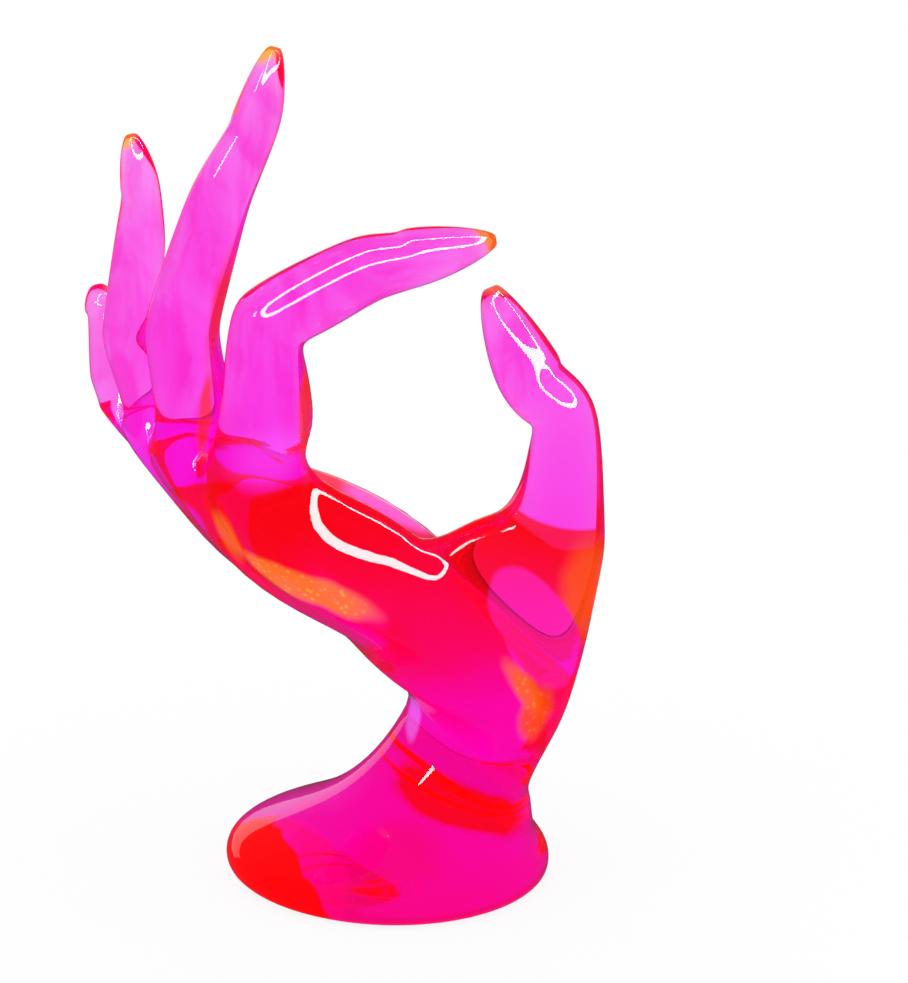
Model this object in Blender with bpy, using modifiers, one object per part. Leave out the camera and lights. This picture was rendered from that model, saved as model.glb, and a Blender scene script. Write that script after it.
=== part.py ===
"""Jewelry stand in the form of a hand rising from a flared oval foot.

One solid clear cast: index finger and thumb form an open ring, the other three
fingers stand up, and every digit ends in a long almond nail. Lengths below are
in millimetres as drawn, and angles in degrees; +X is to the right, +Y is away,
+Z is up. The origin is the middle of the foot on the surface it stands on.
"""

import math

import bmesh
import bpy
from mathutils import Vector

# Height of the stand, and the height that the lengths below are drawn for
HEIGHT = 165.1
DRAWN_HEIGHT = 165.18
UNIT = 0.001 * HEIGHT / DRAWN_HEIGHT

# Foot
FOOT_LONG = 73.7
FOOT_SHORT = 65.0
FOOT_TURN = 18.0
RIM_HEIGHT = 4.6
RIM_ROUND = 1.6
UNDERSIDE_INSET = 4.0

# Grid that the foot starts from and the fingers grow out of
FINGER_FACES = 3
FINGERS = 4
THUMB_FACES = 4
ACROSS = FINGER_FACES * FINGERS
DEEP = FINGER_FACES

# Nails
NAIL_RAISE = 0.65
NAIL_BORDER = 0.5
NAIL_SPREAD = 1.25
NAIL_END = 0.7

# Sections from the top of the rim to the webs of the fingers: middle x, y, z, turn,
# tilt and rise of the plane, half width, half thickness, squareness, arch, taper
SECTIONS = {
    "rim top": (0.8, 0.0, 7.1, 18.0, 0.0, 0.0, 31.6, 28.7, 2.0, 0.0, 0.0),
    "foot slope": (7.4, 0.0, 11.3, 19.0, -2.0, 1.0, 23.6, 21.8, 2.0, 0.0, 0.0),
    "flare": (11.4, -0.4, 16.2, 21.0, -6.0, 4.0, 18.2, 17.8, 2.0, 0.0, 0.0),
    "neck": (14.2, -0.6, 21.0, 24.0, -15.0, 8.0, 16.2, 14.2, 2.0, 0.0, 0.0),
    "wrist": (17.3, -0.6, 27.4, 28.0, -28.0, 12.0, 16.2, 11.8, 2.1, 0.0, 0.0),
    "heel": (17.8, -0.6, 34.4, 31.0, -16.0, 12.0, 18.4, 15.6, 2.2, 0.0, 0.0),
    "thumb root": (18.6, 0.0, 42.2, 33.0, 6.0, 11.0, 21.0, 18.2, 2.3, 0.0, 0.0),
    "thumb ball": (11.4, 1.0, 50.0, 35.0, 28.0, 11.0, 22.4, 16.4, 2.4, 0.5, 0.0),
    "lower palm": (1.6, 1.8, 58.3, 37.0, 44.0, 12.0, 23.8, 12.4, 2.4, 1.0, 0.0),
    "palm": (-10.8, 2.4, 64.8, 38.0, 52.0, 12.0, 24.8, 12.2, 2.5, 1.5, 0.0),
    "upper palm": (-22.0, 2.8, 71.6, 39.0, 48.0, 12.0, 25.2, 12.2, 2.6, 2.0, 0.1),
    "knuckles": (-31.4, 3.0, 79.8, 39.5, 34.0, 13.0, 25.0, 8.6, 2.8, 2.2, 0.28),
    "webs": (-38.8, 3.4, 87.4, 40.0, 14.0, 7.0, 26.6, 8.8, 3.0, 2.2, 0.32),
}
ROWS = list(SECTIONS)
WRIST_ROW = ROWS.index("wrist")
THUMB_ROW = ROWS.index("heel")
WEB_ROW = ROWS.index("webs")

# Relief from the thumb's first section on: web of the thumb, hollow of the palm,
# pad below the little finger, each with its reach along the outline
WEB_RIDGE = (0.0, 0.5, 3.0, 6.5, 8.0, 6.2, 3.0, 0.5)
WEB_RIDGE_REACH = 3.6
PALM_HOLLOW = (0.0, 0.0, 1.0, 3.0, 5.0, 5.0, 3.5, 0.5)
PALM_HOLLOW_REACH = 5.0
LITTLE_PAD = (0.0, 1.5, 10.0, 7.5, 3.0, -2.0, -2.0, -1.0)
LITTLE_PAD_REACH = 5.0
KNUCKLE_RISE = (0.3, 0.5, 1.0, 0.5)

# Share of the width of the webs that belongs to each finger
FINGER_SHARES = (0.30, 0.28, 0.225, 0.195)

# Digits: first joint; length, lean and heading of each bone and of the nail end;
# heading of the palm side; half width at the joints and the tip; depth left at the
# tip below the nail; first ring
FINGER_SPECS = {
    "index": {
        "joint": (-22.6, -10.0, 77.4),
        "bones": ((36.8, 0.2, 20.0), (21.8, 64.0, 11.0), (8.6, 81.5, 11.0), (17.2, 79.5, 10.0)),
        "palm": 10.0,
        "half": (10.6, 7.8, 6.7, 5.6, 1.4),
        "pad": 0.75,
        "start": 0.38,
    },
    "middle": {
        "joint": (-35.0, -0.6, 79.0),
        "bones": ((32.4, -8.4, 0.0), (27.0, 18.0, 10.0), (16.0, 28.5, 10.0), (14.6, 14.8, 10.0)),
        "palm": 34.0,
        "half": (7.8, 7.4, 6.0, 4.5, 1.4),
        "pad": 0.6,
        "start": 0.42,
    },
    "ring": {
        "joint": (-41.8, 9.0, 81.0),
        "bones": ((27.0, -21.0, -20.0), (20.0, 8.0, 20.0), (10.0, 3.0, 0.0), (10.8, -9.0, 0.0)),
        "palm": 52.0,
        "half": (6.4, 5.8, 5.1, 3.7, 1.2),
        "pad": 0.6,
        "start": 0.45,
    },
    "little": {
        "joint": (-49.4, 17.6, 84.0),
        "bones": ((14.6, -27.0, -28.0), (9.2, -10.0, -60.0), (4.0, -18.0, -45.0), (4.9, -22.0, -40.0)),
        "palm": 52.0,
        "half": (6.2, 4.8, 4.1, 3.5, 1.1),
        "pad": 0.6,
        "start": 0.62,
    },
}

THUMB_SPEC = {
    "joint": (20.0, -10.0, 46.0),
    "bones": ((30.9, 29.2, -8.0), (23.8, 1.0, 60.0), (8.8, -55.0, -20.0), (20.0, -25.0, -15.0)),
    "palm": 180.0,
    "half": (7.4, 8.3, 6.6, 6.6, 2.2),
    "pad": 0.75,
    "start": 0.28,
}

# Base of the thumb, spread over the side of the palm and into the web
THUMB_FAN = 24.0
THUMB_STRETCH = 2.7
THUMB_BACK_END = 1.1
THUMB_WEB_END = 1.54
THUMB_ROOT = 0.5
THUMB_PALM_FACES = 3

# Rounds of smoothing where the thumb joins the hand
THUMB_ROUNDS = 3

# Angles round a digit's section: its back, and half of each of its four sides
BACK_ANGLE = 90.0
CORNER_ANGLE = BACK_ANGLE / 2

# Sharpness of the crease where the wrist meets the foot
WRIST_CREASE = 0.55

# Places of the rings beyond the first bone, counted in joints
BONE_PLACES = (1.10, 1.40, 1.75, 2.02, 2.45)
NAIL_PLACES = (2.88, 3.18, 3.50, 3.80, 4.0)
FIRST_BONE_RINGS = 4

# Places where a digit's back begins to spread for the nail and its tip to thin, and
# over how many joints each goes on
SPREAD_FROM = 2.3
SPREAD_OVER = 0.5
THIN_FROM = 3.1
THIN_OVER = 0.9


def lerp(start, end, part):
    return start + (end - start) * part


def smooth_step(part):
    part = min(max(part, 0.0), 1.0)
    return part * part * (3.0 - 2.0 * part)


def bearing(lean, heading):
    """Unit direction that leans from upright toward a heading."""
    lean = math.radians(lean)
    heading = math.radians(heading)
    return Vector((
        math.sin(lean) * math.cos(heading),
        math.sin(lean) * math.sin(heading),
        math.cos(lean),
    ))


def ring_shrink(corners):
    """Factor by which subdivision pulls in a round cage ring of so many corners."""
    return (2.0 + math.cos(2.0 * math.pi / corners)) / 3.0


def signed_power(value, power):
    return math.copysign(abs(value) ** power, value)


def outline_index(col, row):
    """Place of a grid corner on the outline: back of hand, little side, palm, index side."""
    if row == 0:
        return col
    if col == ACROSS:
        return ACROSS + row
    if row == DEEP:
        return 2 * ACROSS + DEEP - col
    return 2 * ACROSS + 2 * DEEP - row


OUTLINE = 2 * (ACROSS + DEEP)


def outline_angle(index):
    """Angle of a place on the outline, 0 at the little side and 90 at the palm."""
    middle_of_little_side = ACROSS + DEEP / 2
    return 2.0 * math.pi * (index - middle_of_little_side) / OUTLINE


def hump(index, middle, reach):
    """Smooth weight, 1 at the middle and 0 beyond the reach, around the outline."""
    distance = abs((index - middle + OUTLINE / 2) % OUTLINE - OUTLINE / 2)
    if distance >= reach:
        return 0.0
    return 0.5 + 0.5 * math.cos(math.pi * distance / reach)


PALM_INDEX_CORNER = 2 * ACROSS + DEEP
PALM_MIDDLE = ACROSS + DEEP + ACROSS / 2
PALM_LITTLE_CORNER = ACROSS + DEEP


def relief(section, index):
    """Outward height added to a section at a place on its outline."""
    row = section - THUMB_ROW
    height = 0.0
    if 0 <= row < len(WEB_RIDGE):
        height += WEB_RIDGE[row] * hump(index, PALM_INDEX_CORNER, WEB_RIDGE_REACH)
        height -= PALM_HOLLOW[row] * hump(index, PALM_MIDDLE, PALM_HOLLOW_REACH)
        height += LITTLE_PAD[row] * hump(index, PALM_LITTLE_CORNER, LITTLE_PAD_REACH)
    back = section - (WEB_ROW + 1 - len(KNUCKLE_RISE))
    if 0 <= back < len(KNUCKLE_RISE) and index <= ACROSS:
        height -= KNUCKLE_RISE[back] * math.cos(2.0 * math.pi * index / FINGER_FACES)
    return height


def share_of_width(col):
    """Place of a grid column across the webs, 0 at the index side and 1 at the little side."""
    finger, column = divmod(col, FINGER_FACES)
    part = sum(FINGER_SHARES[:finger])
    if column:
        part += FINGER_SHARES[finger] * column / FINGER_FACES
    return part


def section_point(section, col, row):
    """Position of one grid corner on a section of the arm, palm or webs."""
    x, y, z, turn, tilt, rise, half_width, half_depth, square, arch, taper = SECTIONS[ROWS[section]]
    turn = math.radians(turn)
    tilt = math.radians(tilt)
    rise = math.radians(rise)
    side = Vector((-math.sin(turn), math.cos(turn), 0.0))
    level = Vector((math.cos(turn), math.sin(turn), 0.0))
    across = side * math.cos(rise) + Vector((0.0, 0.0, math.sin(rise)))
    inward = level * math.cos(tilt) + Vector((0.0, 0.0, math.sin(tilt)))
    index = outline_index(col, row)
    angle = outline_angle(index)
    power = 2.0 / square
    u = half_width * signed_power(math.cos(angle), power)
    v = half_depth * signed_power(math.sin(angle), power)
    even = smooth_step((section - THUMB_ROW) / (WEB_ROW - THUMB_ROW))
    u_even = half_width * (2.0 * share_of_width(col) - 1.0)
    v_even = half_depth * (2.0 * row / DEEP - 1.0)
    outward = Vector((u / half_width ** 2, v / half_depth ** 2)).normalized()
    height = relief(section, index)
    u = lerp(u, u_even, even) + outward.x * height
    v = lerp(v, v_even, 0.5 * even) + outward.y * height
    sideways = max(-1.0, min(1.0, u / half_width))
    v *= 1.0 - taper * sideways
    v -= arch * math.cos(math.pi * sideways / 2.0)
    shrink = ring_shrink(OUTLINE)
    return Vector((x, y, z)) + across * u / shrink + inward * v / shrink


def foot_point(inset, height, col, row):
    """Position of a grid corner on the oval foot."""
    turn = math.radians(FOOT_TURN)
    across = Vector((-math.sin(turn), math.cos(turn), 0.0))
    level = Vector((math.cos(turn), math.sin(turn), 0.0))
    angle = outline_angle(outline_index(col, row))
    half_long = FOOT_LONG / 2 / ring_shrink(OUTLINE) - inset
    half_short = FOOT_SHORT / 2 / ring_shrink(OUTLINE) - inset
    return (
        across * half_long * math.cos(angle)
        + level * half_short * math.sin(angle)
        + Vector((0.0, 0.0, height))
    )


def inner_point(point_at, col, row):
    """Position of a grid corner inside the outline, between the outline's two long sides."""
    back = point_at(col, 0)
    front = point_at(col, DEEP)
    return back.lerp(front, row / DEEP)


def on_outline(col, row):
    return row in (0, DEEP) or col in (0, ACROSS)


def grow(bm, faces, keep):
    """Extrude a patch and return its new faces and corners."""
    made = bmesh.ops.extrude_face_region(bm, geom=faces)["geom"]
    if not keep:
        bmesh.ops.delete(bm, geom=faces, context="FACES")
    new_faces = [item for item in made if isinstance(item, bmesh.types.BMFace)]
    new_verts = [item for item in made if isinstance(item, bmesh.types.BMVert)]
    return new_faces, new_verts


def side_angle(across, down, count, spread):
    """Angle of a patch corner around a digit, BACK_ANGLE at the back of the digit."""
    back = CORNER_ANGLE * spread
    if down == 0:
        return BACK_ANGLE + back * (1.0 - 2.0 * across / count)
    if across == count:
        return lerp(BACK_ANGLE - back, -CORNER_ANGLE, down / count)
    if down == count:
        return CORNER_ANGLE * (2.0 * across / count - 1.0) - BACK_ANGLE
    return lerp(BACK_ANGLE + back, 2.0 * BACK_ANGLE + CORNER_ANGLE, down / count)


class Digit:
    """A finger or thumb: bones, sections and nail, set from its spec."""

    def __init__(self, spec, count, fan=0.0, stretch=0.0):
        self.count = count
        self.fan = fan
        self.stretch = stretch
        self.joints = [Vector(spec["joint"])]
        self.ways = []
        for length, lean, heading in spec["bones"]:
            way = bearing(lean, heading)
            self.ways.append(way)
            self.joints.append(self.joints[-1] + way * length)
        self.palm = bearing(90.0, spec["palm"])
        self.half = spec["half"]
        self.pad = spec["pad"]
        start = spec["start"]
        steps = FIRST_BONE_RINGS - 1
        first = [lerp(start, 0.97, step / steps) for step in range(FIRST_BONE_RINGS)]
        self.places = first + list(BONE_PLACES + NAIL_PLACES)

    def way_at(self, place):
        """Direction of the digit at a place, turning over the joints."""
        bone = min(int(place), len(self.ways) - 1)
        part = place - bone
        if part < 0.5 and bone > 0:
            blend = 0.5 + 0.5 * smooth_step(part / 0.35)
            return self.ways[bone - 1].lerp(self.ways[bone], blend).normalized()
        if part >= 0.5 and bone < len(self.ways) - 1:
            blend = 0.5 * smooth_step((part - 0.65) / 0.35)
            return self.ways[bone].lerp(self.ways[bone + 1], blend).normalized()
        return self.ways[bone]

    def middle_at(self, place):
        bone = min(int(place), len(self.ways) - 1)
        return self.joints[bone].lerp(self.joints[bone + 1], place - bone)

    def half_at(self, place):
        """Half width: from joint to joint, then narrowing along the nail."""
        bone = min(int(place), len(self.ways) - 1)
        part = place - bone
        if bone == 0:
            part = smooth_step(part)
        if bone == len(self.ways) - 1:
            part = 1.0 - max(0.0, 1.0 - part * part) ** 0.6
        return lerp(self.half[bone], self.half[bone + 1], part)

    def stretch_at(self, place, end):
        """Factor by which the base of the thumb is deeper than a round section."""
        return 1.0 + self.stretch * max(0.0, 1.0 - place / end) ** 1.5

    def frame_at(self, place):
        way = self.way_at(place)
        back = -(self.palm - way * self.palm.dot(way)).normalized()
        across = back.cross(way)
        fan = math.radians(self.fan) * max(0.0, 1.0 - place / THUMB_BACK_END)
        spread_back = back * math.cos(fan) - way * math.sin(fan)
        spread_way = way * math.cos(fan) + back * math.sin(fan)
        return spread_way, spread_back, across

    def point(self, place, across_step, down_step):
        """Position of a patch corner on the ring at a place."""
        way, back, across = self.frame_at(place)
        count = self.count
        half = self.half_at(place) / ring_shrink(4 * count)
        nail_part = smooth_step((place - THIN_FROM) / THIN_OVER)
        spread = lerp(1.0, NAIL_SPREAD, smooth_step((place - SPREAD_FROM) / SPREAD_OVER))
        if across_step in (0, count) or down_step in (0, count):
            angle = math.radians(side_angle(across_step, down_step, count, spread))
            u = half * math.cos(angle)
            v = half * math.sin(angle)
        else:
            u = half * (2.0 * across_step / count - 1.0) * 0.7
            v = half * (1.0 - 2.0 * down_step / count) * 0.7
        v *= self.stretch_at(place, THUMB_BACK_END if v > 0.0 else THUMB_WEB_END)
        v *= lerp(1.0, NAIL_END if v > 0.0 else self.pad, nail_part)
        return self.middle_at(place) + across * u + back * v


def build_hand():
    bm = bmesh.new()
    col_layer = bm.verts.layers.int.new("col")
    row_layer = bm.verts.layers.int.new("row")
    level_layer = bm.verts.layers.int.new("level")
    crease_layer = bm.edges.layers.float.new("crease_edge")
    bmesh.ops.create_grid(bm, x_segments=ACROSS, y_segments=DEEP, size=0.5)
    for vert in bm.verts:
        vert[col_layer] = round((vert.co.x + 0.5) * ACROSS)
        vert[row_layer] = round((vert.co.y + 0.5) * DEEP)
        vert[level_layer] = -1

    def place_ring(verts, point_at):
        for vert in verts:
            col, row = vert[col_layer], vert[row_layer]
            where = point_at(col, row) if on_outline(col, row) else inner_point(point_at, col, row)
            vert.co = where * UNIT

    def foot_at(inset, height):
        return lambda col, row: foot_point(inset, height, col, row)

    def section_at(section):
        return lambda col, row: section_point(section, col, row)

    # Underside, then the rounded rim, then the sections
    place_ring(bm.verts, foot_at(UNDERSIDE_INSET, 0.0))
    rim = [foot_at(RIM_ROUND * 0.55, 0.0), foot_at(0.0, RIM_ROUND * 0.8), foot_at(0.0, RIM_HEIGHT)]
    levels = rim + [section_at(section) for section in range(len(ROWS))]
    faces = list(bm.faces)
    for level, point_at in enumerate(levels):
        faces, verts = grow(bm, faces, keep=level == 0)
        place_ring(verts, point_at)
        for vert in verts:
            vert[level_layer] = level
    finger_faces = list(faces)

    # Crease where the wrist meets the foot
    wrist = len(rim) + WRIST_ROW
    for edge in bm.edges:
        if all(vert[level_layer] == wrist for vert in edge.verts):
            edge[crease_layer] = WRIST_CREASE

    def in_finger(number, vert):
        return 0 <= vert[col_layer] - number * FINGER_FACES <= FINGER_FACES

    def grow_digit(digit, patch, step_of, rounds=0, root=1.0):
        nail_faces = []
        joining = {vert for face in patch for vert in face.verts}
        for place in digit.places:
            reach = root if place == digit.places[0] else 1.0
            before = set(bm.faces)
            patch, verts = grow(bm, patch, keep=False)
            for vert in verts:
                vert.co = vert.co.lerp(digit.point(place, *step_of(vert)) * UNIT, reach)
            if place > NAIL_PLACES[0]:
                for face in set(bm.faces) - before - set(patch):
                    if all(step_of(vert)[1] == 0 for vert in face.verts):
                        nail_faces.append(face)
        bmesh.ops.inset_region(bm, faces=nail_faces, thickness=NAIL_BORDER * UNIT, depth=0.0)
        back = digit.frame_at(NAIL_PLACES[2])[1]
        for vert in {vert for face in nail_faces for vert in face.verts}:
            vert.co += back * NAIL_RAISE * UNIT
        joining = [vert for vert in joining if vert.is_valid]
        for _ in range(rounds):
            bmesh.ops.smooth_vert(
                bm, verts=joining, factor=0.5, use_axis_x=True, use_axis_y=True, use_axis_z=True
            )

    # Thumb, from the corner between the palm and the side of the index finger
    low = len(rim) + THUMB_ROW
    first_index = PALM_INDEX_CORNER - THUMB_PALM_FACES

    def thumb_step(vert):
        index = outline_index(vert[col_layer], vert[row_layer])
        return index - first_index, vert[level_layer] - low

    thumb_patch = [
        face for face in bm.faces
        if all(
            0 <= step <= THUMB_FACES and on_outline(vert[col_layer], vert[row_layer])
            for vert in face.verts for step in thumb_step(vert)
        )
    ]
    thumb = Digit(THUMB_SPEC, THUMB_FACES, THUMB_FAN, THUMB_STRETCH)
    grow_digit(thumb, thumb_patch, thumb_step, THUMB_ROUNDS, THUMB_ROOT)

    # Fingers, from three columns of the top each
    patches = [
        [face for face in finger_faces if all(in_finger(number, vert) for vert in face.verts)]
        for number in range(FINGERS)
    ]
    for number, spec in enumerate(FINGER_SPECS.values()):
        first = number * FINGER_FACES

        def finger_step(vert, first=first):
            return vert[col_layer] - first, vert[row_layer]

        grow_digit(Digit(spec, FINGER_FACES), patches[number], finger_step)

    bmesh.ops.recalc_face_normals(bm, faces=bm.faces)
    mesh = bpy.data.meshes.new("hand_stand")
    bm.to_mesh(mesh)
    bm.free()
    mesh.shade_smooth()
    return mesh


def clear_pink():
    material = bpy.data.materials.new("clear_pink")
    material.use_nodes = True
    shader = material.node_tree.nodes["Principled BSDF"]
    shader.inputs["Base Color"].default_value = (1.0, 0.03, 0.42, 1.0)
    shader.inputs["Roughness"].default_value = 0.04
    shader.inputs["Metallic"].default_value = 0.0
    shader.inputs["Transmission Weight"].default_value = 1.0
    shader.inputs["IOR"].default_value = 1.5
    return material


def main():
    for old in list(bpy.data.objects):
        bpy.data.objects.remove(old, do_unlink=True)
    mesh = build_hand()
    mesh.materials.append(clear_pink())
    hand = bpy.data.objects.new("hand_stand", mesh)
    group = bpy.data.collections.new("hand_jewelry_stand")
    bpy.context.scene.collection.children.link(group)
    group.objects.link(hand)
    smoothing = hand.modifiers.new("smoothing", "SUBSURF")
    smoothing.levels = 1
    smoothing.render_levels = 1


main()
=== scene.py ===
"""Looks of the hand jewelry stand: a solid hand cast in clear neon pink resin."""

import math
from collections import namedtuple

import bpy
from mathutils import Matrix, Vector


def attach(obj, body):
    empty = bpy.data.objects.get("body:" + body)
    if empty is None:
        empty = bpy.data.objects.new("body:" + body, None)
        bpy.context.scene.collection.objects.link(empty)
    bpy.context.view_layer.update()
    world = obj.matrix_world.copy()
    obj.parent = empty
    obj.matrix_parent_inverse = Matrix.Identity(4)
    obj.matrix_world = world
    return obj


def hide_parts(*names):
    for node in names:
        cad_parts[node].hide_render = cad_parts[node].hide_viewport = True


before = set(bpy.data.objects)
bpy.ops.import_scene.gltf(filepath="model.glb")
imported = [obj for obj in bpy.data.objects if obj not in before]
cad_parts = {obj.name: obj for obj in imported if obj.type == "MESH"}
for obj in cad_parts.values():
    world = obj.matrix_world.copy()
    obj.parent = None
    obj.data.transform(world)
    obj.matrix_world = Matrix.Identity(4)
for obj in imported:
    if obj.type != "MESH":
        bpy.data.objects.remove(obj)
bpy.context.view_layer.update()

MM = 0.001

# Skin of the cast: points this close are one, and triangles this flat become quads
SAME_POINT = 0.00002
QUAD_FOLD = math.radians(40)
QUAD_SKEW = math.radians(50)

# Resin: how much light each millimetre takes, for red, green and blue
RESIN_TAKES = (0.0002, 0.15, 0.010)
RESIN_IOR = 1.5
RESIN_ROUGHNESS = 0.02
RIPPLES_PER_METRE = 120.0
RIPPLE_STRENGTH = 0.1
RIPPLE_DEPTH = 0.2 * MM

# Rim: where the skin turns away, the light has gone through more dye
RIM_BLEND = 0.3
RIM_STARTS = 0.55
RIM_FULL = 0.9
RIM_TINT = (1.0, 0.06, 0.16)

# Fingers: their tint, and how thin streaks of darker dye lie along them
FINGER_TINT = (1.0, 0.72, 0.98)
STREAK_SHARE = (1.0, 0.35, 0.8)
STREAK_WAVES = 260.0
STREAK_STARTS = 0.42
STREAK_FULL = 0.62
STREAK_UP = (1.0, 1.0, 0.16)
STREAK_OUT = (0.14, 1.0, 1.0)

# The dye's bands from the foot to the bases of the fingers: height on the slant in
# millimetres, and tint. The dye lies higher at the front.
DYE_SLANT = 0.268
DYE_BANDS = (
    (-10.0, (1.0, 0.005, 0.30)),
    (4.0, (1.0, 0.005, 0.50)),
    (20.0, (1.0, 0.02, 0.60)),
    (34.0, (1.0, 0.03, 0.60)),
    (47.0, (1.0, 0.03, 0.20)),
    (60.0, (1.0, 0.03, 0.06)),
    (69.0, (1.0, 0.02, 0.012)),
    (79.5, (1.0, 0.05, 0.008)),
)
DYE_FLOOR = DYE_BANDS[0][0]
DYE_TOP = DYE_BANDS[-1][0]
DYE_TOP_SOFT = 0.6

# The marbling shifts every band and pool by a few millimetres
MARBLE_WAVES = 55.0
MARBLE_SHIFT = 6.0 * MM

# Pools of other dye, and of painted glow: middle and reach in millimetres, turn in degrees about
# the axis that runs away from the camera, softness of the edge, tint, and the painted glow
# (emission) it adds
Pool = namedtuple("Pool", "middle reach turn edge tint shine")
ORANGE = (1.0, 0.3, 0.01)
LIGHT_ORANGE = (1.0, 0.4, 0.01)
AMBER = (1.0, 0.6, 0.03)
NO_PAINTED_GLOW = (0.0, 0.0, 0.0)
POOLS = {
    "ring_base": Pool(
        (-52.0, 6.0, 94.5), (4.6, 8.0, 11.0), -8.0, 0.3,
        (1.0, 0.1, 0.45), (0.0, 0.0, 0.1),
    ),
    "little_base": Pool(
        (-50.0, 14.0, 84.0), (9.0, 14.0, 6.0), 0.0, 0.1,
        (1.0, 0.5, 0.9), (0.0, 0.0, 0.1),
    ),
    "index_base": Pool(
        (-22.0, -19.0, 88.5), (12.0, 9.0, 8.0), 0.0, 0.8,
        FINGER_TINT, (0.0, 0.03, 0.16),
    ),
    "middle_base": Pool(
        (-39.5, 21.0, 86.5), (7.0, 7.0, 7.2), 0.0, 0.3,
        FINGER_TINT, NO_PAINTED_GLOW,
    ),
    "back_of_hand": Pool(
        (-39.5, 5.0, 72.5), (8.5, 15.0, 10.0), 0.0, 0.25,
        (1.0, 0.45, 0.9), NO_PAINTED_GLOW,
    ),
    "thumb": Pool(
        (37.0, -14.0, 86.5), (17.0, 22.0, 16.0), 0.0, 0.05,
        FINGER_TINT, NO_PAINTED_GLOW,
    ),
    "far_palm": Pool(
        (-1.0, 20.0, 70.5), (18.0, 8.0, 6.5), 20.0, 0.3,
        (1.0, 0.65, 0.6), (0.15, 0.02, 0.05),
    ),
    "far_side": Pool(
        (0.0, 32.0, 62.0), (20.0, 8.0, 12.0), 0.0, 0.3,
        FINGER_TINT, NO_PAINTED_GLOW,
    ),
    "thumb_base": Pool(
        (40.0, -16.0, 61.0), (7.5, 14.0, 16.0), -8.0, 0.5,
        ORANGE, (0.02, 0.06, 0.0),
    ),
    "leaf": Pool(
        (29.3, -17.0, 54.9), (7.4, 12.0, 14.6), -26.0, 0.1,
        (1.0, 0.12, 0.68), (0.03, 0.008, 0.16),
    ),
    "heel": Pool(
        (29.6, -17.0, 37.0), (4.6, 12.0, 7.6), 10.0, 0.5,
        LIGHT_ORANGE, (0.03, 0.07, 0.0),
    ),
    "heel_streak": Pool(
        (27.0, -18.0, 43.0), (9.0, 12.0, 2.8), 55.0, 0.6,
        LIGHT_ORANGE, (0.04, 0.13, 0.0),
    ),
    "palm_marble": Pool(
        (-14.5, -17.0, 62.8), (19.0, 9.0, 4.2), 22.0, 0.4,
        ORANGE, (0.16, 0.2, 0.02),
    ),
    "palm_edge": Pool(
        (-29.5, -12.0, 71.5), (3.2, 8.0, 8.0), -20.0, 0.5,
        ORANGE, (0.04, 0.1, 0.0),
    ),
    "foot_front": Pool(
        (1.4, -27.0, 13.0), (15.0, 14.0, 10.0), 10.0, 0.5,
        (1.0, 0.01, 0.26), NO_PAINTED_GLOW,
    ),
    # Painted sheen: pale tint and painted glow where the foot's shoulder shows a soft reflection
    "foot_shoulder_painted_sheen": Pool(
        (-18.0, -8.0, 14.5), (18.0, 30.0, 4.5), -28.0, 0.8,
        (1.0, 0.15, 0.85), (0.08, 0.03, 0.16),
    ),
    "wrist_band": Pool(
        (14.0, -15.0, 18.6), (20.0, 12.0, 5.0), 20.0, 0.3,
        (1.0, 0.02, 0.002), NO_PAINTED_GLOW,
    ),
    # Painted glow: a pale spot with a white-blue painted glow on the wrist
    "wrist_painted_pale_glow": Pool(
        (5.4, -4.0, 32.5), (2.2, 6.0, 7.0), 10.0, 0.5,
        (1.0, 0.8, 1.0), (0.0, 0.08, 0.3),
    ),
    "finger_gap": Pool(
        (-34.0, -7.0, 94.0), (1.8, 6.0, 13.0), 4.0, 0.6,
        (1.0, 0.08, 0.02), (0.0, 0.012, 0.0),
    ),
    "foot_patch": Pool(
        (-23.0, -18.0, -1.0), (19.5, 30.0, 10.6), 24.0, 0.05,
        (1.0, 0.005, 0.0001), (0.1, 0.0, 0.0),
    ),
    # Edges, fingertips and the nail fold: orange and amber tint, with painted glow for the
    # resin's orange edge glow
    "middle_edge": Pool(
        (-31.6, 0.0, 115.0), (2.6, 14.0, 17.0), 14.0, 0.6,
        (1.0, 0.04, 0.02), (0.0, 0.01, 0.0),
    ),
    "index_edge": Pool(
        (-14.6, -14.0, 96.0), (1.7, 14.0, 16.0), 2.0, 0.6,
        (1.0, 0.1, 0.02), (0.02, 0.02, 0.0),
    ),
    "index_tip": Pool(
        (20.8, -2.0, 129.4), (5.4, 6.0, 4.6), 0.0, 0.4,
        (1.0, 0.25, 0.01), (0.0, 0.1, 0.0),
    ),
    "middle_tip": Pool(
        (-22.7, 2.8, 164.2), (3.4, 5.0, 4.0), 0.0, 0.5,
        AMBER, (0.0, 0.14, 0.0),
    ),
    "middle_fold": Pool(
        (-29.0, 1.5, 153.2), (1.8, 5.0, 2.2), 0.0, 0.6,
        ORANGE, (0.0, 0.04, 0.0),
    ),
    "ring_tip": Pool(
        (-50.3, 13.0, 146.4), (3.2, 5.0, 3.4), 0.0, 0.5,
        AMBER, (0.0, 0.12, 0.0),
    ),
    "little_tip": Pool(
        (-55.8, 24.0, 113.6), (2.4, 4.0, 2.8), 0.0, 0.5,
        AMBER, (0.0, 0.12, 0.0),
    ),
    "thumb_tip": Pool(
        (21.2, -7.0, 121.8), (5.0, 6.0, 3.4), 0.0, 0.5,
        (1.0, 0.6, 0.02), (0.0, 0.12, 0.0),
    ),
}

# Where the index finger lies level, and its streaks run outward
LEVEL_FINGER = ((4.0, -8.0, 124.0), (24.0, 14.0, 14.0), -12.0, 0.3)

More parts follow.
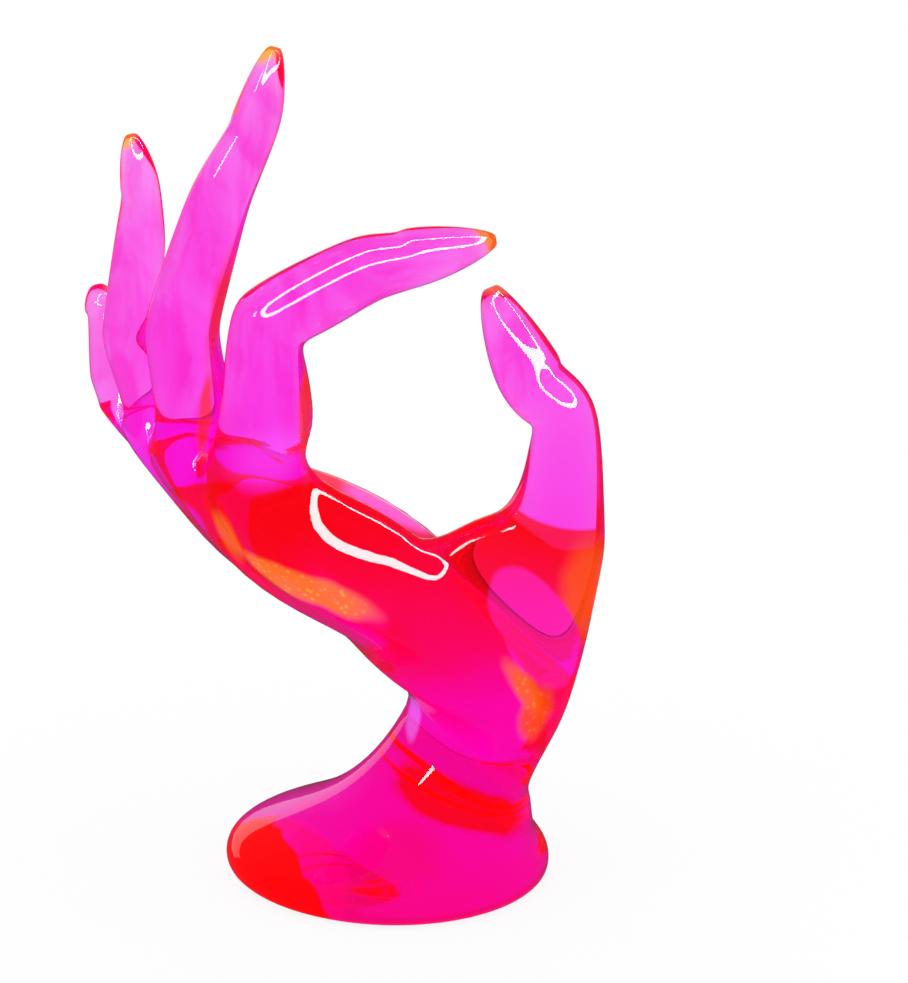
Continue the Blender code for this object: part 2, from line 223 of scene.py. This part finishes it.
# Tiny bubbles in the orange, drawn in the painted glow: bright at their middles, a little dim
# between them
BUBBLY = ("heel", "heel_streak", "palm_marble")
BUBBLES_PER_METRE = 750.0
BUBBLE_CORE = 0.1
BUBBLE_EDGE = 0.4
BUBBLE_BRIGHT = 1.8
BUBBLE_DIM = 0.8

# Camera
CAMERA_AIM = Vector((13.6, 0.0, 77.6)) * MM
CAMERA_AT = Vector((13.6, -627.85, 245.83)) * MM
CAMERA_LENS = 120.67
CAMERA_FILM = 36.0
CAMERA_NEAR = 0.01

# Room and table
ROOM_SEEN_THROUGH_RESIN = 1.0
ROOM_IN_GLOSS = 0.05
ROOM_ON_FLOOR = 1.12
TABLE_SIZE = 6.0
TABLE_GAP = 0.0003
TABLE_GREY = 0.9
FLOOR_SHADOW = 0.12

# Lamps: where they face, how far off they hang, and each one's way from the hand
# (azimuth 0 is towards the camera, 90 to the right), size in metres and strength
LAMPS_FACE = Vector((0.01, 0.0, 0.08))
LAMPS_AWAY = 1.2
RING_WAY = (22, 51)
RING_SIZE = (1.06, 0.52)
RING_TUBE = 0.11
RING_STRENGTH = 21.0
RING_SIDES = 64
RING_TUBE_SIDES = 12
WINDOWS = {
    "side_window": ((-55, 33), (0.12, 0.20), 18.0),
    "back_window": ((-165, 6), (1.3, 0.32), 0.6),
}
CARD_AT = (0.03, -0.066, 0.030)
CARD_SIZE = (0.20, 0.092)

# Bounces, and the light of a ray that runs out of them inside the resin
BOUNCES = 12
LOST_AFTER = 10.5
LOST_LIGHT = (0.9, 0.0, 0.06)

# A mix node's sockets: the two that it mixes and the result
MIX_SOCKETS = {"FLOAT": (2, 3, 0), "RGBA": (6, 7, 2)}


def deselect():
    """Nothing selected, so that an operator acts only on what is meant."""
    for obj in list(bpy.context.selected_objects):
        obj.select_set(False)


def only(obj):
    """The one object selected and active."""
    deselect()
    obj.select_set(True)
    bpy.context.view_layer.objects.active = obj


def resin_hand(node):
    """The cast hand: the solid's own skin, made of quads again and smoothed."""
    hand = bpy.data.objects.new("resin_hand", node.data.copy())
    bpy.context.scene.collection.objects.link(hand)
    only(hand)
    bpy.ops.object.mode_set(mode="EDIT")
    bpy.ops.mesh.select_all(action="SELECT")
    bpy.ops.mesh.remove_doubles(threshold=SAME_POINT)
    bpy.ops.mesh.tris_convert_to_quads(face_threshold=QUAD_FOLD, shape_threshold=QUAD_SKEW)
    bpy.ops.object.mode_set(mode="OBJECT")
    smoothing = hand.modifiers.new("smoothing", "SUBSURF")
    smoothing.levels = 1
    smoothing.render_levels = 1
    bpy.ops.object.modifier_apply(modifier=smoothing.name)
    bpy.ops.object.shade_smooth()
    return hand


def linked(tree, kind, links, **values):
    """A new node, with some inputs linked and others set, both by name or number."""
    made = tree.nodes.new(kind)
    for name, value in values.items():
        setattr(made, name, value)
    for name, source in links.items():
        if isinstance(source, bpy.types.NodeSocket):
            tree.links.new(source, made.inputs[name])
        else:
            made.inputs[name].default_value = source
    return made


def mixed(tree, mask, below, above, kind="RGBA"):
    """A colour or value that goes from one to another where the mask is."""
    first, second, result = MIX_SOCKETS[kind]
    inputs = {0: mask}
    for number, part in ((first, below), (second, above)):
        plain_colour = kind == "RGBA" and not isinstance(part, bpy.types.NodeSocket)
        inputs[number] = (*part, 1.0) if plain_colour else part
    return linked(tree, "ShaderNodeMix", inputs, data_type=kind).outputs[result]


def maths(tree, operation, first, second, clamp=False):
    """One sum on two values."""
    return linked(
        tree, "ShaderNodeMath", {0: first, 1: second}, operation=operation, use_clamp=clamp
    ).outputs["Value"]


def bare_material(name):
    """A new material without its first shader, never picked as a lamp to aim at."""
    material = bpy.data.materials.new(name)
    material.use_nodes = True
    material.cycles.emission_sampling = "NONE"
    material.node_tree.nodes.remove(material.node_tree.nodes["Principled BSDF"])
    return material


def pool_mask(tree, place, middle, reach, turn, edge):
    """1 inside a pool of dye and painted glow, and 0 outside it."""
    inside = linked(tree, "ShaderNodeMapping", {
        "Vector": place,
        "Location": Vector(middle) * MM,
        "Rotation": (0.0, math.radians(turn), 0.0),
        "Scale": Vector(reach) * MM,
    }, vector_type="TEXTURE")
    away = linked(
        tree, "ShaderNodeVectorMath", {0: inside.outputs["Vector"]}, operation="LENGTH"
    )
    fade = linked(tree, "ShaderNodeMapRange", {
        "Value": away.outputs["Value"], "From Min": 1.0, "From Max": 1.0 - edge,
    }, interpolation_type="SMOOTHSTEP")
    return fade.outputs["Result"]


def streak_mask(tree, place, stretch):
    """Thin streaks of darker dye, drawn out along one direction."""
    drawn = linked(tree, "ShaderNodeMapping", {"Vector": place, "Scale": stretch})
    streaks = linked(tree, "ShaderNodeTexNoise", {
        "Vector": drawn.outputs["Vector"], "Scale": STREAK_WAVES, "Detail": 3.0,
    })
    band = linked(tree, "ShaderNodeMapRange", {
        "Value": streaks.outputs["Fac"], "From Min": STREAK_STARTS, "From Max": STREAK_FULL,
    })
    return band.outputs["Result"]


def marbled(tree, at):
    """The same place, shifted a little by slow waves, so that the dye's edges wander."""
    waves = linked(tree, "ShaderNodeTexNoise", {
        "Vector": at, "Scale": MARBLE_WAVES, "Detail": 2.0,
    })
    centred = linked(tree, "ShaderNodeVectorMath", {
        0: waves.outputs["Color"], 1: (0.5, 0.5, 0.5),
    }, operation="SUBTRACT")
    shift = linked(tree, "ShaderNodeVectorMath", {
        0: centred.outputs["Vector"], "Scale": MARBLE_SHIFT,
    }, operation="SCALE")
    return linked(tree, "ShaderNodeVectorMath", {
        0: at, 1: shift.outputs["Vector"],
    }, operation="ADD").outputs["Vector"]


def finger_tint(tree, at, place):
    """Pink with streaks: up the fingers, and outward where the index lies level."""
    level = pool_mask(tree, at, *LEVEL_FINGER)
    upward = streak_mask(tree, place, STREAK_UP)
    outward = streak_mask(tree, place, STREAK_OUT)
    streaks = mixed(tree, level, upward, outward, "FLOAT")
    darker = tuple(part * share for part, share in zip(FINGER_TINT, STREAK_SHARE))
    return mixed(tree, streaks, FINGER_TINT, darker)


def band_tint(tree, place, fingers):
    """Bands of the foot, wrist and palm, with the fingers' tint above them."""
    height = linked(tree, "ShaderNodeVectorMath", {
        0: place, 1: (0.0, DYE_SLANT, 1.0),
    }, operation="DOT_PRODUCT").outputs["Value"]
    tall = linked(tree, "ShaderNodeMapRange", {
        "Value": height, "From Min": DYE_FLOOR * MM, "From Max": DYE_TOP * MM,
    })
    ramp = linked(tree, "ShaderNodeValToRGB", {0: tall.outputs["Result"]})
    stops = ramp.color_ramp.elements
    stops[0].color = (*DYE_BANDS[0][1], 1.0)
    stops[1].color = (*DYE_BANDS[-1][1], 1.0)
    for up, colour in DYE_BANDS[1:-1]:
        stops.new((up - DYE_FLOOR) / (DYE_TOP - DYE_FLOOR)).color = (*colour, 1.0)
    above = linked(tree, "ShaderNodeMapRange", {
        "Value": height, "From Min": (DYE_TOP - DYE_TOP_SOFT) * MM, "From Max": DYE_TOP * MM,
    })
    return mixed(tree, above.outputs["Result"], ramp.outputs["Color"], fingers)


def bubbled(tree, at, shine, bubbly):
    """The painted glow, dotted with tiny bubbles where the mask is: brighter painted glow at
    their middles.
    """
    cells = linked(tree, "ShaderNodeTexVoronoi", {"Vector": at, "Scale": BUBBLES_PER_METRE})
    speck = linked(tree, "ShaderNodeMapRange", {
        "Value": cells.outputs["Distance"],
        "From Min": BUBBLE_CORE, "From Max": BUBBLE_EDGE,
        "To Min": BUBBLE_BRIGHT, "To Max": BUBBLE_DIM,
    })
    dotted = linked(tree, "ShaderNodeVectorMath", {
        0: shine, "Scale": speck.outputs["Result"],
    }, operation="SCALE")
    return mixed(tree, bubbly, shine, dotted.outputs["Vector"])


def resin_dye_and_painted_light():
    """How the dye lies in the cast: its tint, the painted glow it adds, and a faint ripple."""
    tree = bpy.data.node_groups.new("resin_dye_and_painted_light", "ShaderNodeTree")
    tree.interface.new_socket("Tint", in_out="OUTPUT", socket_type="NodeSocketColor")
    tree.interface.new_socket("Shine", in_out="OUTPUT", socket_type="NodeSocketColor")
    tree.interface.new_socket("Ripple", in_out="OUTPUT", socket_type="NodeSocketFloat")
    out = tree.nodes.new("NodeGroupOutput")
    at = tree.nodes.new("ShaderNodeTexCoord").outputs["Object"]
    place = marbled(tree, at)
    tint = band_tint(tree, place, finger_tint(tree, at, place))
    shine = NO_PAINTED_GLOW
    bubbly = (0.0, 0.0, 0.0)
    for name, pool in POOLS.items():
        mask = pool_mask(tree, place, pool.middle, pool.reach, pool.turn, pool.edge)
        tint = mixed(tree, mask, tint, pool.tint)
        shine = mixed(tree, mask, shine, pool.shine)
        if name in BUBBLY:
            bubbly = mixed(tree, mask, bubbly, (1.0, 1.0, 1.0))
    ripple = linked(tree, "ShaderNodeTexNoise", {
        "Vector": at, "Scale": RIPPLES_PER_METRE, "Detail": 2.0,
    })
    tree.links.new(tint, out.inputs["Tint"])
    tree.links.new(bubbled(tree, at, shine, bubbly), out.inputs["Shine"])
    tree.links.new(ripple.outputs["Fac"], out.inputs["Ripple"])
    return tree


def clear_resin():
    """Neon pink resin that light passes through, redder where it is thicker, with painted glow in
    places.
    """
    material = bpy.data.materials.new("clear_pink_resin")
    material.use_nodes = True
    material.cycles.emission_sampling = "NONE"
    tree = material.node_tree
    shader = tree.nodes["Principled BSDF"]
    # The group gives the dye's tint, the painted glow and the ripple
    dye = tree.nodes.new("ShaderNodeGroup")
    dye.node_tree = resin_dye_and_painted_light()
    facing = linked(tree, "ShaderNodeLayerWeight", {"Blend": RIM_BLEND})
    rim = linked(tree, "ShaderNodeMapRange", {
        "Value": facing.outputs["Facing"], "From Min": RIM_STARTS, "From Max": RIM_FULL,
    })
    tint = mixed(tree, rim.outputs["Result"], dye.outputs["Tint"], RIM_TINT)
    # Emission: the painted glow, and a painted red glow where a ray runs out of bounces
    rays = tree.nodes.new("ShaderNodeLightPath")
    lost = maths(tree, "GREATER_THAN", rays.outputs["Ray Depth"], LOST_AFTER)
    shine = mixed(tree, lost, dye.outputs["Shine"], LOST_LIGHT)
    relief = linked(tree, "ShaderNodeBump", {
        "Height": dye.outputs["Ripple"], "Strength": RIPPLE_STRENGTH, "Distance": RIPPLE_DEPTH,
    })
    tree.links.new(tint, shader.inputs["Base Color"])
    tree.links.new(shine, shader.inputs["Emission Color"])
    tree.links.new(relief.outputs["Normal"], shader.inputs["Normal"])
    shader.inputs["Emission Strength"].default_value = 1.0
    shader.inputs["Roughness"].default_value = RESIN_ROUGHNESS
    shader.inputs["IOR"].default_value = RESIN_IOR
    shader.inputs["Transmission Weight"].default_value = 1.0
    strongest = max(RESIN_TAKES)
    depth = tree.nodes.new("ShaderNodeVolumeAbsorption")
    depth.inputs["Color"].default_value = [1.0 - take / strongest for take in RESIN_TAKES] + [1.0]
    depth.inputs["Density"].default_value = strongest / MM
    tree.links.new(depth.outputs["Volume"], tree.nodes["Material Output"].inputs["Volume"])
    return material


def rays_that_see(tree):
    """The light path, and 1 for rays from the camera, straight or through the resin."""
    rays = tree.nodes.new("ShaderNodeLightPath").outputs
    return rays, maths(tree, "MAXIMUM", rays["Is Camera Ray"], rays["Is Transmission Ray"])


def white_floor():
    """A white table that fades into the white room and keeps a faint shadow."""
    bpy.ops.mesh.primitive_plane_add(size=TABLE_SIZE, location=(0.0, 0.0, -TABLE_GAP))
    floor = bpy.context.object
    floor.name = "white_table"
    material = bare_material("white_table_top")
    tree = material.node_tree
    rays, seen = rays_that_see(tree)
    matt = linked(tree, "ShaderNodeBsdfDiffuse", {
        "Color": (TABLE_GREY, TABLE_GREY, TABLE_GREY, 1.0),
    })
    dim = linked(tree, "ShaderNodeEmission", {"Strength": ROOM_IN_GLOSS})
    bright = linked(tree, "ShaderNodeEmission", {"Strength": 1.0})
    reflected = maths(tree, "SUBTRACT", rays["Is Glossy Ray"], seen, clamp=True)
    unseen = linked(tree, "ShaderNodeMixShader", {
        "Fac": reflected, 1: matt.outputs["BSDF"], 2: dim.outputs["Emission"],
    })
    mix = linked(tree, "ShaderNodeMixShader", {
        "Fac": maths(tree, "MULTIPLY", seen, 1.0 - FLOOR_SHADOW),
        1: unseen.outputs["Shader"],
        2: bright.outputs["Emission"],
    })
    tree.links.new(mix.outputs["Shader"], tree.nodes["Material Output"].inputs["Surface"])
    floor.data.materials.append(material)


def white_room():
    """Plain white surroundings, quieter in the resin's gloss than through the resin."""
    world = bpy.data.worlds.new("white_room")
    world.use_nodes = True
    tree = world.node_tree
    light = tree.nodes["Background"]
    light.inputs["Color"].default_value = (1.0, 1.0, 1.0, 1.0)
    rays, seen = rays_that_see(tree)
    unseen = mixed(tree, rays["Is Glossy Ray"], ROOM_ON_FLOOR, ROOM_IN_GLOSS, "FLOAT")
    strength = mixed(tree, seen, unseen, ROOM_SEEN_THROUGH_RESIN, "FLOAT")
    tree.links.new(strength, light.inputs["Strength"])
    bpy.context.scene.world = world


def show_in_gloss(face, material_name, strength):
    """Gives a face an even glow that shows in the resin's gloss and nowhere else."""
    material = bare_material(material_name)
    tree = material.node_tree
    glow = linked(tree, "ShaderNodeEmission", {"Strength": strength})
    tree.links.new(glow.outputs["Emission"], tree.nodes["Material Output"].inputs["Surface"])
    face.data.materials.append(material)
    face.visible_camera = False
    face.visible_diffuse = False
    face.visible_transmission = False
    face.visible_shadow = False


def grey_card():
    """A card over the front of the foot, which keeps the lamp's bright frame off it."""
    bpy.ops.mesh.primitive_plane_add(size=1.0, location=CARD_AT)
    card = bpy.context.object
    card.name = "grey_card"
    card.scale = (*CARD_SIZE, 1.0)
    show_in_gloss(card, "grey_card_face", ROOM_IN_GLOSS)


def lamp_place(azimuth, elevation):
    """Where a lamp hangs: azimuth 0 is towards the camera, 90 to the right."""
    azimuth = math.radians(azimuth)
    elevation = math.radians(elevation)
    way = Vector((
        math.sin(azimuth) * math.cos(elevation),
        -math.cos(azimuth) * math.cos(elevation),
        math.sin(elevation),
    ))
    return way * LAMPS_AWAY + LAMPS_FACE


def aim_lamp(name, size, strength):
    """The primitive just added becomes a lamp of its size that faces the hand."""
    lamp = bpy.context.object
    lamp.name = name
    lamp.rotation_euler = (LAMPS_FACE - lamp.location).to_track_quat("-Z", "Y").to_euler()
    lamp.scale = (*size, 1.0)
    show_in_gloss(lamp, f"{name}_glow", strength)


def studio():
    """The white room, an oval tube lamp and two windows, and how the picture is taken."""
    white_room()
    bpy.ops.mesh.primitive_torus_add(
        major_radius=1.0, minor_radius=RING_TUBE, major_segments=RING_SIDES,
        minor_segments=RING_TUBE_SIDES, location=lamp_place(*RING_WAY),
    )
    aim_lamp("ring_lamp", RING_SIZE, RING_STRENGTH)
    for name, (way, size, strength) in WINDOWS.items():
        bpy.ops.mesh.primitive_plane_add(size=1.0, location=lamp_place(*way))
        aim_lamp(name, size, strength)
    scene = bpy.context.scene
    scene.view_settings.view_transform = "Standard"
    scene.cycles.max_bounces = BOUNCES
    scene.cycles.transmission_bounces = BOUNCES
    scene.cycles.glossy_bounces = BOUNCES


def camera():
    """The photo's view: 15 degrees above the level, from 0.65 m."""
    data = bpy.data.cameras.new("photo_camera")
    data.lens = CAMERA_LENS
    data.sensor_width = CAMERA_FILM
    data.clip_start = CAMERA_NEAR
    obj = bpy.data.objects.new("photo_camera", data)
    bpy.context.scene.collection.objects.link(obj)
    obj.location = CAMERA_AT
    obj.rotation_euler = (CAMERA_AIM - CAMERA_AT).to_track_quat("-Z", "Y").to_euler()
    bpy.context.scene.camera = obj


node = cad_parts["hand_stand"]
hand = resin_hand(node)
hand.data.materials.clear()
hand.data.materials.append(clear_resin())
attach(hand, "root")
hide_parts("hand_stand")
white_floor()
grey_card()
studio()
camera()
